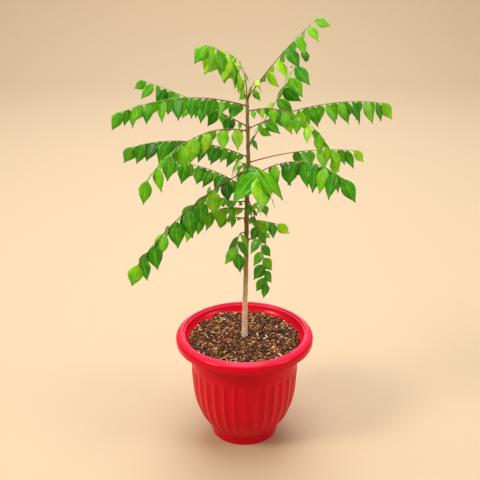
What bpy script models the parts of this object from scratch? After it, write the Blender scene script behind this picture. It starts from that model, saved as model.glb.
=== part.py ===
"""A young curry leaf plant growing in a fluted plastic planter.

Metres, +Z up. The origin is the centre of the planter's flat base, -Y is the side that faces the
viewer and +X is the viewer's right. Sizes below are in millimetres and degrees, and mm() turns them
into metres. Every frond is one solid: its rachis with the leaflets grown out of it.
"""

import math
import random

import bmesh
import bpy
from mathutils import Vector

# The planter: a 250 mm pot with a thick rolled lip, a fluted body and a plain foot.
POT_HEIGHT = 208.0
LIP_RADIUS = 125.0
LIP_HEIGHT = 21.0
LIP_ROLL_RADIUS = 9.0
LIP_CREST_RADIUS = 113.5
LIP_EDGE_RADIUS = 109.5
LIP_EDGE_DROP = 3.0
COLLAR_RADIUS = 104.0
COLLAR_DROP = 13.5
BODY_RADIUS = 99.0
BODY_TAPER = 4.0
BODY_CURVE = 4.6
WALL = 3.0
FLOOR = 4.0
FOOT_TOP_RADIUS = 63.5
FOOT_BASE_RADIUS = 60.0
FOOT_HEIGHT = 19.0
FLUTES = 32
FLUTE_DEPTH = 1.7
FLUTE_TOP = POT_HEIGHT - 55.0
FLUTE_BOTTOM = 28.0
FLUTE_FADE = 8.0
BODY_BANDS = (112.0, 82.0, 57.0)
DRAIN_COUNT = 6
DRAIN_CIRCLE_RADIUS = 38.0
DRAIN_RADIUS = 5.0
DRAIN_DEPTH = 1.2

# The soil fills the planter to 15 mm under the lip's crest.
SOIL_TOP = POT_HEIGHT - 15.0
SOIL_CLEARANCE = 0.5
SOIL_RELIEF = 1.6
SOIL_SIDES = 24
SOIL_EDGE_RADIUS = 101.5
SOIL_RINGS = (30.0, 58.0, 82.0)
INNER_HEIGHTS = (25.0, 60.0, 110.0)
STEM_HOLE_DEPTH = 62.0

# The trunk: height above the base, sideways lean in x and y, and radius.
TRUNK_POINTS = (
    (198.0, 0.0, 0.0, 5.2),
    (235.0, 0.5, 0.5, 4.8),
    (275.0, 1.0, 1.5, 4.5),
    (330.0, 2.5, 2.0, 4.2),
    (390.0, 3.0, 1.0, 3.9),
    (445.0, 3.5, -0.5, 3.6),
    (490.0, 4.0, -1.5, 3.4),
    (528.0, 6.0, -1.5, 3.2),
    (565.0, 5.5, -0.5, 3.0),
    (600.0, 4.5, 0.5, 2.7),
    (634.0, 4.0, 1.0, 2.5),
    (654.0, 3.5, 1.0, 2.2),
)
GAP = 0.3

# The fronds. height: where the stalk leaves the trunk. azimuth: 0 is +X, 90 is +Y. rise: the first
# slope of the rachis above level. bend: how far that slope falls by the tip. turn: how far the
# rachis swings round. bare: the share of the rachis with no leaflets. leaflets, size and width: how
# many, the longest one, and its width as a share of its length. hang: how far the leaflets point
# down, against out to the side.
FROND_FIELDS = (
    "name", "height", "azimuth", "length", "rise", "bend", "turn", "bare", "leaflets", "size", "width", "hang",
)
FRONDS = [
    dict(zip(FROND_FIELDS, row))
    for row in (
        ("crown_right", 649, 20, 165, 53, 15, 0, 0.22, 11, 38, 0.50, 0.9),
        ("crown_left", 651, 185, 132, 86, 72, 50, 0.30, 10, 44, 0.56, 1.2),
        ("crown_back", 646, 95, 104, 78, 80, 40, 0.27, 7, 27, 0.44, 0.9),
        ("crown_young", 648, 300, 55, 70, 50, -20, 0.30, 4, 22, 0.44, 0.7),
        ("left_high", 633, 188, 212, 20, 42, 0, 0.08, 17, 38, 0.50, 1.3),
        ("right_arching", 624, 340, 182, 23, 95, -5, 0.16, 14, 31, 0.52, 1.2),
        ("left_back", 598, 163, 188, 24, 10, 0, 0.16, 14, 36, 0.48, 1.2),
        ("right_high", 594, 5, 250, 26, 42, 24, 0.20, 17, 42, 0.50, 1.3),
        ("left_front", 590, 215, 215, 22, 72, 0, 0.10, 15, 44, 0.48, 1.2),
        ("right_back", 565, 55, 200, 32, -10, 0, 0.20, 14, 42, 0.52, 0.9),
        ("left_mid", 544, 172, 210, 23, 47, -12, 0.12, 17, 40, 0.54, 1.3),
        ("right_mid", 534, 4, 182, 17, 26, 6, 0.42, 9, 38, 0.46, 1.1),
        ("front", 527, 280, 96, 30, 45, 0, 0.22, 8, 64, 0.60, 0.7),
        ("left_low", 519, 205, 250, -18, 28, 10, 0.16, 16, 45, 0.56, 1.1),
        ("right_front", 505, 335, 212, 43, 60, -30, 0.22, 16, 45, 0.50, 1.3),
        ("back_mid", 498, 98, 120, 20, 45, 0, 0.24, 8, 34, 0.46, 1.1),
        ("left_inner", 487, 180, 122, 38, 29, 4, 0.18, 10, 36, 0.52, 1.2),
        ("hanging_right", 467, 300, 152, -42, 37, -15, 0.26, 11, 30, 0.56, 0.7),
        ("left_lower_back", 461, 150, 96, -16, -23, -38, 0.26, 7, 30, 0.50, 0.9),
        ("left_lower", 448, 196, 102, 21, 70, -8, 0.20, 9, 34, 0.54, 1.1),
        ("back_low", 440, 70, 92, 12, 50, 0, 0.26, 6, 30, 0.48, 1.1),
        ("left_twig", 429, 160, 58, 0, 10, 0, 0.30, 5, 24, 0.52, 0.9),
        ("right_twig", 426, 345, 52, 9, 21, 0, 0.35, 5, 30, 0.60, 0.9),
        ("hanging_left", 403, 240, 72, 35, 90, 40, 0.32, 5, 38, 0.52, 0.8),
        ("lowest_sprig", 388, 20, 30, 40, 50, 0, 0.35, 3, 22, 0.52, 0.8),
    )
]
RACHIS_POINTS = 8
RACHIS_BASE_RADIUS = 1.5
RACHIS_TIP_RADIUS = 0.9

# Each leaflet's lean forward and out to its side, its turn about its own midrib in radians, and the
# ranges that its hang and its length vary over. The last leaflet carries the rachis on, a little lower.
LEAFLET_FORWARD = (0.25, 0.6)
LEAFLET_SPREAD = (0.55, 0.85)
LEAFLET_TWIST = 0.35
HANG_RANGE = (0.8, 1.2)
LENGTH_RANGE = (0.9, 1.08)
LAST_HANG = 0.8
LAST_PLACE = 0.99
SMALLEST_SHARE = 0.62
SEED = 11

# One leaflet blade: stations along it as (share of length, share of half width).
BLADE_STATIONS = ((0.32, 1.0), (0.70, 0.74))
BLADE_THICKNESS = 0.7
BLADE_FOLD = 0.16
BLADE_DROOP = 0.10


def mm(value):
    return value * 0.001


def material(name, color, roughness):
    """A plain Principled material."""
    made = bpy.data.materials.new(name)
    made.use_nodes = True
    shader = made.node_tree.nodes["Principled BSDF"]
    shader.inputs["Base Color"].default_value = (*color, 1.0)
    shader.inputs["Roughness"].default_value = roughness
    shader.inputs["Metallic"].default_value = 0.0
    made.diffuse_color = (*color, 1.0)
    return made


def new_object(name, data, collection, finish=None):
    obj = bpy.data.objects.new(name, data)
    collection.objects.link(obj)
    if finish is not None:
        data.materials.append(finish)
    return obj


def as_mesh(obj, name):
    """The object's evaluated shape as a new mesh, with its doubles merged."""
    graph = bpy.context.evaluated_depsgraph_get()
    mesh = bpy.data.meshes.new_from_object(obj.evaluated_get(graph))
    mesh.name = name
    shape = bmesh.new()
    shape.from_mesh(mesh)
    bmesh.ops.remove_doubles(shape, verts=shape.verts, dist=1e-6)
    shape.to_mesh(mesh)
    shape.free()
    return mesh


def turned(name, profile, steps, collection, finish):
    """A closed solid of revolution from (radius, height) points that run down its outer side."""
    mesh = bpy.data.meshes.new(name + "_profile")
    points = [(mm(radius), 0.0, mm(height)) for radius, height in profile]
    mesh.from_pydata(points, [(i, i + 1) for i in range(len(points) - 1)], [])
    obj = new_object(name + "_profile", mesh, collection)
    screw = obj.modifiers.new("turn", "SCREW")
    screw.steps = screw.render_steps = steps
    screw.use_merge_vertices = True
    screw.merge_threshold = 0.00001
    solid = as_mesh(obj, name)
    bpy.data.objects.remove(obj)
    return new_object(name, solid, collection, finish)


def arc(center, radius_x, radius_z, first, last, steps):
    """Points on an ellipse's arc in the (radius, height) plane, angles in degrees."""
    angles = [math.radians(first + (last - first) * i / steps) for i in range(steps + 1)]
    return [(center[0] + radius_x * math.cos(a), center[1] + radius_z * math.sin(a)) for a in angles]


def body_radius(height):
    """The planter body's outer radius: nearly straight under the lip, then drawn in to the foot."""
    top = POT_HEIGHT - LIP_HEIGHT
    share = max(0.0, (top - height) / (top - FOOT_HEIGHT))
    drawn_in = BODY_RADIUS - FOOT_TOP_RADIUS
    return BODY_RADIUS - BODY_TAPER * share - (drawn_in - BODY_TAPER) * share**BODY_CURVE


def pot_profile():
    """Half of the planter's section: up its inside, over the lip, and down to the middle of its base."""
    lip_under = POT_HEIGHT - LIP_HEIGHT
    body_heights = (
        lip_under, FLUTE_TOP, FLUTE_TOP - FLUTE_FADE, *BODY_BANDS, FLUTE_BOTTOM + FLUTE_FADE, FLUTE_BOTTOM,
    )
    inner = [(0.0, FLOOR), (FOOT_BASE_RADIUS - WALL, FLOOR)]
    inner += [(body_radius(height) - WALL, height) for height in (*INNER_HEIGHTS, lip_under)]
    crest = (LIP_CREST_RADIUS, POT_HEIGHT - LIP_EDGE_DROP)
    roll = (LIP_RADIUS - LIP_ROLL_RADIUS, POT_HEIGHT - LIP_EDGE_DROP - LIP_ROLL_RADIUS)
    lip = [(COLLAR_RADIUS, POT_HEIGHT - COLLAR_DROP)]
    lip += arc(crest, LIP_CREST_RADIUS - LIP_EDGE_RADIUS, LIP_EDGE_DROP, 180.0, 90.0, 1)
    lip += arc(roll, LIP_ROLL_RADIUS, LIP_ROLL_RADIUS, 60.0, 0.0, 2)
    lip += [(LIP_RADIUS - 1.0, lip_under)]
    body = [(body_radius(height), height) for height in body_heights]
    foot = [(FOOT_TOP_RADIUS, FOOT_HEIGHT), (FOOT_BASE_RADIUS, 0.0), (0.0, 0.0)]
    return inner + lip + body + foot


def flute_share(height):
    """0 on the plain bands, 1 over the fluted height."""
    from_top = (FLUTE_TOP - height) / FLUTE_FADE
    from_bottom = (height - FLUTE_BOTTOM) / FLUTE_FADE
    return max(0.0, min(1.0, from_top, from_bottom))


def make_pot(collection):
    """The planter, turned from its profile, with flutes pressed into every second row of its facets."""
    finish = material("red_plastic", (0.62, 0.008, 0.025), 0.3)
    pot = turned("pot", pot_profile(), 2 * FLUTES, collection, finish)
    step = math.pi / FLUTES
    for vertex in pot.data.vertices:
        radius = math.hypot(vertex.co.x, vertex.co.y)
        height = vertex.co.z / mm(1.0)
        outside = radius > mm(body_radius(height) - 0.5 * WALL) and FOOT_HEIGHT < height
        groove = round(math.atan2(vertex.co.y, vertex.co.x) / step) % 2 == 1
        if outside and groove and height < FLUTE_TOP:
            shrunk = 1.0 - mm(FLUTE_DEPTH) * flute_share(height) / radius
            vertex.co.x *= shrunk
            vertex.co.y *= shrunk
    cut_drain_marks(pot, collection)
    pot.data.shade_smooth()
    pot.data.set_sharp_from_angle(angle=math.radians(35))


def cut_drain_marks(pot, collection):
    """Shallow round knock-outs in the underside, on a circle round the plain centre."""
    cutters = bpy.data.collections.new("cutters")
    collection.children.link(cutters)
    for i in range(DRAIN_COUNT):
        angle = 2 * math.pi * i / DRAIN_COUNT
        shape = bmesh.new()
        bmesh.ops.create_cone(
            shape, cap_ends=True, segments=8,
            radius1=mm(DRAIN_RADIUS), radius2=mm(DRAIN_RADIUS), depth=mm(2 * DRAIN_DEPTH),
        )
        place = Vector((math.cos(angle), math.sin(angle), 0.0)) * mm(DRAIN_CIRCLE_RADIUS)
        bmesh.ops.translate(shape, verts=shape.verts, vec=place)
        mesh = bpy.data.meshes.new("drain_mark")
        shape.to_mesh(mesh)
        shape.free()
        new_object("drain_mark", mesh, cutters)
    apply_boolean(pot, cutters, "DIFFERENCE", "EXACT")


def apply_boolean(obj, members, operation, solver):
    """Applies one Boolean of all the members to the object, and removes them."""
    joined = obj.modifiers.new("joined", "BOOLEAN")
    joined.operand_type = "COLLECTION"
    joined.collection = members
    joined.operation = operation
    joined.solver = solver
    result = as_mesh(obj, obj.name)
    obj.modifiers.clear()
    finish = obj.data.materials[0]
    obj.data = result
    obj.data.materials.clear()
    obj.data.materials.append(finish)
    for member in list(members.objects):
        bpy.data.objects.remove(member)
    bpy.data.collections.remove(members)


def make_soil(collection):
    """Potting soil: fills the planter's inside, with a plain hole for the trunk and an uneven top."""
    hole = TRUNK_POINTS[0][3] + SOIL_CLEARANCE
    hole_bottom = SOIL_TOP - STEM_HOLE_DEPTH
    profile = [(0.0, hole_bottom), (hole, hole_bottom), (hole, SOIL_TOP)]
    profile += [(radius, SOIL_TOP) for radius in (*SOIL_RINGS, SOIL_EDGE_RADIUS)]
    sides = (POT_HEIGHT - LIP_HEIGHT, *reversed(INNER_HEIGHTS))
    profile += [(body_radius(height) - WALL - SOIL_CLEARANCE, height) for height in sides]
    profile += [(FOOT_BASE_RADIUS - WALL - SOIL_CLEARANCE, FLOOR + GAP), (0.0, FLOOR + GAP)]
    finish = material("potting_soil", (0.16, 0.065, 0.028), 0.95)
    soil = turned("soil", profile, SOIL_SIDES, collection, finish)
    for vertex in soil.data.vertices:
        radius = math.hypot(vertex.co.x, vertex.co.y) / mm(1.0)
        if abs(vertex.co.z - mm(SOIL_TOP)) < mm(0.01) and hole + 1.0 < radius < SOIL_EDGE_RADIUS - 1.0:
            angle = math.atan2(vertex.co.y, vertex.co.x)
            wave = math.sin(3.0 * angle + 0.11 * radius) + 0.6 * math.sin(7.0 * angle - 0.2 * radius)
            vertex.co.z += mm(SOIL_RELIEF) * wave


def tube(name, points, radii, sides_step, collection):
    """A round stalk through the points, as a mesh with its end caps joined on."""
    curve = bpy.data.curves.new(name + "_curve", "CURVE")
    curve.dimensions = "3D"
    curve.bevel_depth = 1.0
    curve.bevel_resolution = sides_step
    curve.use_fill_caps = True
    spline = curve.splines.new("POLY")
    spline.points.add(len(points) - 1)
    for point, place, radius in zip(spline.points, points, radii):
        point.co = (*place, 1.0)
        point.radius = radius
    obj = new_object(name + "_curve", curve, collection)
    mesh = as_mesh(obj, name)
    bpy.data.objects.remove(obj)
    return new_object(name, mesh, collection)


def trunk_at(height):
    """The trunk's centre and radius at a height, in millimetres."""
    for low, high in zip(TRUNK_POINTS, TRUNK_POINTS[1:]):
        if height <= high[0]:
            share = max(0.0, (height - low[0]) / (high[0] - low[0]))
            x, y, radius = (a + (b - a) * share for a, b in zip(low[1:], high[1:]))
            return Vector((x, y, height)), radius
    return Vector((*TRUNK_POINTS[-1][1:3], height)), TRUNK_POINTS[-1][3]


def make_trunk(collection):
    """The woody trunk, from the bottom of its hole in the soil to the crown."""
    bottom = SOIL_TOP - STEM_HOLE_DEPTH + GAP
    heights = [bottom] + [point[0] for point in TRUNK_POINTS]
    places = [trunk_at(height) for height in heights]
    points = [Vector((place.x, place.y, height)) * mm(1.0) for (place, _), height in zip(places, heights)]
    trunk = tube("trunk", points, [mm(radius) for _, radius in places], 2, collection)
    trunk.data.materials.append(material("bark", (0.36, 0.22, 0.12), 0.85))
    trunk.data.shade_smooth()


def frond_path(frond):
    """Points along the rachis, from the trunk's skin to the tip, and the direction at each."""
    rise, bend = math.radians(frond["rise"]), math.radians(frond["bend"])
    azimuth, turn = math.radians(frond["azimuth"]), math.radians(frond["turn"])
    center, radius = trunk_at(frond["height"])
    reach = radius + GAP + RACHIS_BASE_RADIUS * abs(math.sin(rise))
    place = center + Vector((math.cos(azimuth), math.sin(azimuth), 0.0)) * reach
    points, directions = [place], []
    step = frond["length"] / (RACHIS_POINTS - 1)
    for i in range(RACHIS_POINTS - 1):
        share = (i + 0.5) / (RACHIS_POINTS - 1)
        slope, heading = rise - bend * share, azimuth + turn * share
        direction = Vector(
            (math.cos(slope) * math.cos(heading), math.cos(slope) * math.sin(heading), math.sin(slope))
        )
        directions.append(direction)
        points.append(points[-1] + direction * step)
    return points, directions


def point_on(points, directions, share):
    """The place and direction at a share of the rachis's length."""
    at = min(share, 0.9999) * len(directions)
    index = int(at)
    return points[index].lerp(points[index + 1], at - index), directions[index]


def leaflet_size(share):
    """Leaflets grow from the stalk to past the middle, then shrink a little to the tip."""
    growth = math.sin(math.radians(29.0 + 111.0 * share))
    return SMALLEST_SHARE + (1.0 - SMALLEST_SHARE) * growth


def leaflets_of(frond, rng):
    """(root, direction, across, length) of each leaflet, alternating along the rachis, in millimetres."""
    points, directions = frond_path(frond)
    placed = []
    for i in range(frond["leaflets"]):
        last = i == frond["leaflets"] - 1
        along = i / (frond["leaflets"] - 1)
        share = frond["bare"] + (LAST_PLACE - frond["bare"]) * along
        root, heading = point_on(points, directions, share)
        side = heading.cross(Vector((0.0, 0.0, 1.0))).normalized() * (1 if i % 2 else -1)
        down = Vector((0.0, 0.0, -1.0)) * frond["hang"] * rng.uniform(*HANG_RANGE)
        forward = heading * rng.uniform(*LEAFLET_FORWARD)
        direction = down + forward + side * rng.uniform(*LEAFLET_SPREAD)
        if last:
            direction = heading + down * LAST_HANG
        direction.normalize()
        across = heading - direction * heading.dot(direction)
        if last:
            across = side - direction * side.dot(direction)
        twist = rng.uniform(-LEAFLET_TWIST, LEAFLET_TWIST)
        across.normalize()
        across = (across * math.cos(twist) + direction.cross(across) * math.sin(twist)).normalized()
        length = frond["size"] * leaflet_size(along) * rng.uniform(*LENGTH_RANGE)
        placed.append((root, direction, across, length))
    return placed


def blade_mesh(name, root, direction, across, length, width_share):
    """One closed leaflet blade: an oval folded a little along its midrib and drooping to its tip."""
    normal = direction.cross(across)
    if normal.z < 0:
        across, normal = -across, -normal
    half = 0.5 * length * width_share

    def at(along, sideways):
        lift = BLADE_FOLD * abs(sideways) - BLADE_DROOP * length * (along / length) ** 2
        return root + direction * along + across * sideways + normal * lift

    rows = [(at(0.0, 0.0),)]
    for share, width in BLADE_STATIONS:
        rows.append(tuple(at(share * length, side * half * width) for side in (-1, 0, 1)))
    rows.append((at(length, 0.0),))
    top = [mm(1.0) * point for row in rows for point in row]
    thick = normal * mm(BLADE_THICKNESS)
    shape = bmesh.new()
    uppers = [shape.verts.new(point + thick * 0.5) for point in top]
    lowers = [shape.verts.new(point - thick * 0.5) for point in top]
    faces = [(0, 2, 1), (0, 3, 2), (1, 2, 5), (1, 5, 4), (2, 3, 6), (2, 6, 5), (4, 5, 7), (5, 6, 7)]
    for face in faces:
        shape.faces.new([uppers[i] for i in face])
        shape.faces.new([lowers[i] for i in reversed(face)])
    outline = (0, 1, 4, 7, 6, 3)
    for a, b in zip(outline, outline[1:] + outline[:1]):
        shape.faces.new((uppers[a], uppers[b], lowers[b]))
        shape.faces.new((uppers[a], lowers[b], lowers[a]))
    bmesh.ops.recalc_face_normals(shape, faces=shape.faces)
    mesh = bpy.data.meshes.new(name)
    shape.to_mesh(mesh)
    shape.free()
    return mesh


def make_frond(frond, finish, collection):
    """One frond: the rachis tube with every leaflet's root sunk into it, joined into one solid."""
    rng = random.Random(f"{SEED} {frond['name']}")
    points, _ = frond_path(frond)
    last = len(points) - 1
    radii = [
        mm(RACHIS_BASE_RADIUS + (RACHIS_TIP_RADIUS - RACHIS_BASE_RADIUS) * i / last) for i in range(last + 1)
    ]
    rachis = tube("frond_" + frond["name"], [point * mm(1.0) for point in points], radii, 0, collection)
    rachis.data.materials.append(finish)
    blades = bpy.data.collections.new("blades")
    collection.children.link(blades)
    for root, direction, across, length in leaflets_of(frond, rng):
        mesh = blade_mesh("blade", root, direction, across, length, frond["width"])
        new_object("blade", mesh, blades)
    apply_boolean(rachis, blades, "UNION", "MANIFOLD")


def main():
    for obj in list(bpy.data.objects):
        bpy.data.objects.remove(obj)
    plant = bpy.data.collections.new("curry_leaf_plant")
    bpy.context.scene.collection.children.link(plant)
    make_pot(plant)
    make_soil(plant)
    make_trunk(plant)
    leaf = material("leaf", (0.07, 0.27, 0.03), 0.45)
    for frond in FRONDS:
        make_frond(frond, leaf, plant)


main()
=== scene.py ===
"""The looks of a young curry leaf plant in a fluted red planter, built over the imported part."""

import math
import random

import bmesh
import bpy
from mathutils import Matrix, Vector, noise


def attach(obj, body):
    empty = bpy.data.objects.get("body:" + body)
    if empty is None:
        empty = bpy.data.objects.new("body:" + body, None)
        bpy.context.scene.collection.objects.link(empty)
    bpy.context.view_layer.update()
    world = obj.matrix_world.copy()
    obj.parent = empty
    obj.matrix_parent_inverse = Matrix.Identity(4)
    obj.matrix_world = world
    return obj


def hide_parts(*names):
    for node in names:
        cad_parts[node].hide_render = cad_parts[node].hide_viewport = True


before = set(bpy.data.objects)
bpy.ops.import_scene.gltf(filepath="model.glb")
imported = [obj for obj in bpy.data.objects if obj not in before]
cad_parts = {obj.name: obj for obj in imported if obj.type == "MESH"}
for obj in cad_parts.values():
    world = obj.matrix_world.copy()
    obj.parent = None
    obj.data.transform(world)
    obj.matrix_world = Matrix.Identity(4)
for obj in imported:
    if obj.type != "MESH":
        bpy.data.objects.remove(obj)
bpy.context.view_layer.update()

# Sizes are millimetres and degrees, as in the part's own source, and MM turns them into metres.
MM = 0.001
UP = Vector((0.0, 0.0, 1.0))
DOWN = Vector((0.0, 0.0, -1.0))

# The planter. Its flutes and its lip's small forms are drawn finer here than in the solids.
POT_HEIGHT = 208.0
LIP_RADIUS = 125.0
LIP_HEIGHT = 21.0
LIP_ROLL_RADIUS = 9.0
LIP_CREST_RADIUS = 113.5
LIP_CREST_RADII = (2.0, 2.6)
LIP_EDGE_RADIUS = 109.5
LIP_EDGE_DROP = 3.0
LIP_EDGE_RADII = (1.0, 1.2)
LIP_GROOVE_RADII = (0.8, 0.9)
LIP_BEAD_RADIUS = 1.1
# The top of the lip is painted pinker over this depth, up to this share: a painted highlight for the bright
# sky it reflects.
LIP_HIGHLIGHT_DEPTH = 7.0
LIP_HIGHLIGHT_SHARE = 0.7
COLLAR_RADIUS = 104.0
COLLAR_DROP = 13.5
BODY_RADIUS = 99.0
BODY_TAPER = 4.0
BODY_CURVE = 4.6
BODY_ROWS = 56
FILLET_RADIUS = 2.5
WALL = 3.0
FLOOR = 4.0
INNER_HEIGHTS = (25.0, 60.0, 110.0)
FOOT_TOP_RADIUS = 63.5
FOOT_BASE_RADIUS = 60.0
FOOT_HEIGHT = 19.0
FOOT_EDGE_RADII = (1.8, 1.5)
DRAIN_COUNT = 6
DRAIN_CIRCLE_RADIUS = 38.0
DRAIN_RADIUS = 5.0
DRAIN_DEPTH = 1.2
DRAIN_RINGS = 15
FLUTES = 32
FLUTE_DEPTH = 2.4
FLUTE_TOP = POT_HEIGHT - 62.0
FLUTE_TOP_FADE = 5.0
FLUTE_BOTTOM = 24.0
FLUTE_BOTTOM_FADE = 6.0
FLUTE_ARCH = 7.0
FLUTE_SHARE = 0.86
FLUTE_FACETS = 12

# The potting mix, with a dome round the stem, a heap at its left back and a sunk edge.
SOIL_TOP = POT_HEIGHT - 15.0
SOIL_EDGE_RADIUS = 101.5
SOIL_CLEARANCE = 0.5
SOIL_RELIEF = 3.0
SOIL_LUMPS_PER_METRE = 38.0
SOIL_DOME = 5.5
SOIL_DOME_RADIUS = 48.0
SOIL_HEAP = 2.5
SOIL_HEAP_PLACE = (-35.0, 75.0)
SOIL_HEAP_SPREAD = (45.0, 30.0)
SOIL_SINK = 1.5
SOIL_SINK_START = 90.0
SOIL_SINK_WIDTH = 10.0
SOIL_RINGS = 30
SOIL_STEPS = 120
BED_DROP = 1.2

# The chips on it.
CHIPS = 3200
CHIP_LENGTHS = (3.5, 4.5, 6.0, 7.5, 10.0)
CHIP_LENGTH_RANGE = (0.8, 1.15)
CHIP_WIDTHS = (1.6, 3.6)
CHIP_HEIGHTS = (1.0, 2.2)
CHIP_LIFTS = (-0.8, 2.4)
CHIP_ROLL = 0.5
CHIP_PITCH = 0.4
CHIP_CURL = 0.9
CHIP_JITTER = 0.22
CHIP_TONE = (0.47, 0.29)
PALE_CHIP_SHARE = 0.04
PALE_CHIP_TONES = (0.88, 1.0)
CHIP_SHARP_ANGLE = 45.0

# The trunk: height above the base, sideways lean in x and y, and radius.
TRUNK_POINTS = (
    (198.0, 0.0, 0.0, 5.2),
    (235.0, 0.5, 0.5, 4.8),
    (275.0, 1.0, 1.5, 4.5),
    (330.0, 2.5, 2.0, 4.2),
    (390.0, 3.0, 1.0, 3.9),
    (445.0, 3.5, -0.5, 3.6),
    (490.0, 4.0, -1.5, 3.4),
    (528.0, 6.0, -1.5, 3.2),
    (565.0, 5.5, -0.5, 3.0),
    (600.0, 4.5, 0.5, 2.7),
    (634.0, 4.0, 1.0, 2.5),
    (654.0, 3.5, 1.0, 2.2),
)
TRUNK_SUNK = 14.0
TRUNK_PAST_END = 1.5
TRUNK_STEP = 3.0
TRUNK_SIDES = 20
TRUNK_TIP_SHARE = 0.6
KNUCKLE_SWELL = 0.55
KNUCKLE_LENGTH = 3.2
KNUCKLE_MOST = 0.9
FLARE = 0.5
FLARE_LENGTH = 5.0
WANDER = 0.7
WANDER_LENGTH = 23.0
BARK_RELIEF = 0.1
BARK_LUMPS_PER_METRE = (420.0, 420.0, 110.0)
GAP = 0.3

# The fronds, as the part has them, and then their colour: 0 is an old deep green leaf, 1 is a young
# yellow-green one.
FROND_FIELDS = (
    "name", "height", "azimuth", "length", "rise", "bend", "turn", "bare", "leaflets", "size", "width",
    "hang", "youth",
)
FRONDS = [
    dict(zip(FROND_FIELDS, row))
    for row in (
        ("crown_right", 649, 20, 165, 53, 15, 0, 0.22, 11, 38, 0.50, 0.9, 0.58),
        ("crown_left", 651, 185, 132, 86, 72, 50, 0.30, 10, 44, 0.56, 1.2, 0.62),
        ("crown_back", 646, 95, 104, 78, 80, 40, 0.27, 7, 27, 0.44, 0.9, 0.65),
        ("crown_young", 648, 300, 55, 70, 50, -20, 0.30, 4, 22, 0.44, 0.7, 0.85),
        ("left_high", 633, 188, 212, 20, 42, 0, 0.08, 17, 38, 0.50, 1.3, 0.38),
        ("right_arching", 624, 340, 182, 23, 95, -5, 0.16, 14, 31, 0.52, 1.2, 0.48),
        ("left_back", 598, 163, 188, 24, 10, 0, 0.16, 14, 36, 0.48, 1.2, 0.30),
        ("right_high", 594, 5, 250, 26, 42, 24, 0.20, 17, 42, 0.50, 1.3, 0.42),
        ("left_front", 590, 215, 215, 22, 72, 0, 0.10, 15, 44, 0.48, 1.2, 0.62),
        ("right_back", 565, 55, 200, 32, -10, 0, 0.20, 14, 42, 0.52, 0.9, 0.40),
        ("left_mid", 544, 172, 210, 23, 47, -12, 0.12, 17, 40, 0.54, 1.3, 0.24),
        ("right_mid", 534, 4, 182, 17, 26, 6, 0.42, 9, 38, 0.46, 1.1, 0.36),
        ("front", 527, 280, 96, 30, 45, 0, 0.22, 8, 64, 0.60, 0.7, 0.38),
        ("left_low", 519, 205, 250, -18, 28, 10, 0.16, 16, 45, 0.56, 1.1, 0.28),
        ("right_front", 505, 335, 212, 43, 60, -30, 0.22, 16, 45, 0.50, 1.3, 0.24),
        ("back_mid", 498, 98, 120, 20, 45, 0, 0.24, 8, 34, 0.46, 1.1, 0.30),
        ("left_inner", 487, 180, 122, 38, 29, 4, 0.18, 10, 36, 0.52, 1.2, 0.35),
        ("hanging_right", 467, 300, 152, -42, 37, -15, 0.26, 11, 30, 0.56, 0.7, 0.42),
        ("left_lower_back", 461, 150, 96, -16, -23, -38, 0.26, 7, 30, 0.50, 0.9, 0.30),
        ("left_lower", 448, 196, 102, 21, 70, -8, 0.20, 9, 34, 0.54, 1.1, 0.56),
        ("back_low", 440, 70, 92, 12, 50, 0, 0.26, 6, 30, 0.48, 1.1, 0.30),
        ("left_twig", 429, 160, 58, 0, 10, 0, 0.30, 5, 24, 0.52, 0.9, 0.45),
        ("right_twig", 426, 345, 52, 9, 21, 0, 0.35, 5, 30, 0.60, 0.9, 0.62),
        ("hanging_left", 403, 240, 72, 35, 90, 40, 0.32, 5, 38, 0.52, 0.8, 0.45),
        ("lowest_sprig", 388, 20, 30, 40, 50, 0, 0.35, 3, 22, 0.52, 0.8, 0.60),
    )
]

# The rachis. STALK_SHARE makes it a little slimmer than the solid's, and its root is sunk in the trunk.
RACHIS_POINTS = 8
RACHIS_BASE_RADIUS = 1.35
RACHIS_TIP_RADIUS = 0.6
RACHIS_ROOT_RADIUS = 1.5
STALK_SHARE = 0.84
STALK_SIDES = 8
STALK_STEPS = 3 * (RACHIS_POINTS - 1)
STALK_SUNK = 1.6
STALK_SWELL = 0.7
STALK_SWELL_LENGTH = 4.0
STALK_SMOOTHINGS = 2

# Each leaflet's lean forward and out to its side, its turn about its own midrib in radians, and the
# ranges that its hang and its length vary over. The last leaflet carries the rachis on, a little lower.
LEAFLET_FORWARD = (0.25, 0.6)
LEAFLET_SPREAD = (0.55, 0.85)
LEAFLET_TWIST = 0.35
HANG_RANGE = (0.8, 1.2)
LENGTH_RANGE = (0.9, 1.08)
LAST_HANG = 0.8
LAST_PLACE = 0.99
SMALLEST_SHARE = 0.62
SEED = 11

# Fronds with a few small leaflets below the others, on the stretch that the solids leave bare.
BASAL_LEAFLETS = {
    "crown_right": 2, "crown_left": 4, "left_high": 2, "left_back": 2, "right_arching": 3, "right_high": 2,
    "left_front": 2, "right_back": 3, "left_mid": 2, "left_inner": 3, "hanging_right": 3, "left_lower": 3,
    "left_lower_back": 2, "back_mid": 2, "back_low": 2, "right_twig": 1, "left_twig": 1,
}
BASAL_SHARE = 0.5
BASAL_LENGTH_RANGE = (0.8, 1.3)

# A leaflet's blade, as shares of its length or its width, and how far one blade differs from the next.
BLADE_ACROSS = 4
BLADE_ALONG = 10
BLADE_THICKNESS = 0.32
BLADE_STALK = 0.05
BLADE_FOLD = 0.16
BLADE_FOLD_RANGE = (0.6, 1.8)
BLADE_DROOP = 0.10
BLADE_DROOP_RANGE = (0.7, 1.9)
BLADE_DROOP_CURVE = 2.2
BLADE_CUP = 0.012
BLADE_WAVE = 0.35
BLADE_WAVES = 9.0
BLADE_SICKLE = 0.05
BLADE_SWAY = 0.16
BLADE_ROLL = 0.3
BLADE_WIDTH_RANGE = (0.98, 1.22)
BLADE_TONE_SPREAD = 0.14
FRONT_FACING = Vector((0.0, -1.0, 0.45))

# The frond's material slots, after the upper skin's.
UNDERSIDE = 1
STALK = 2

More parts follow.
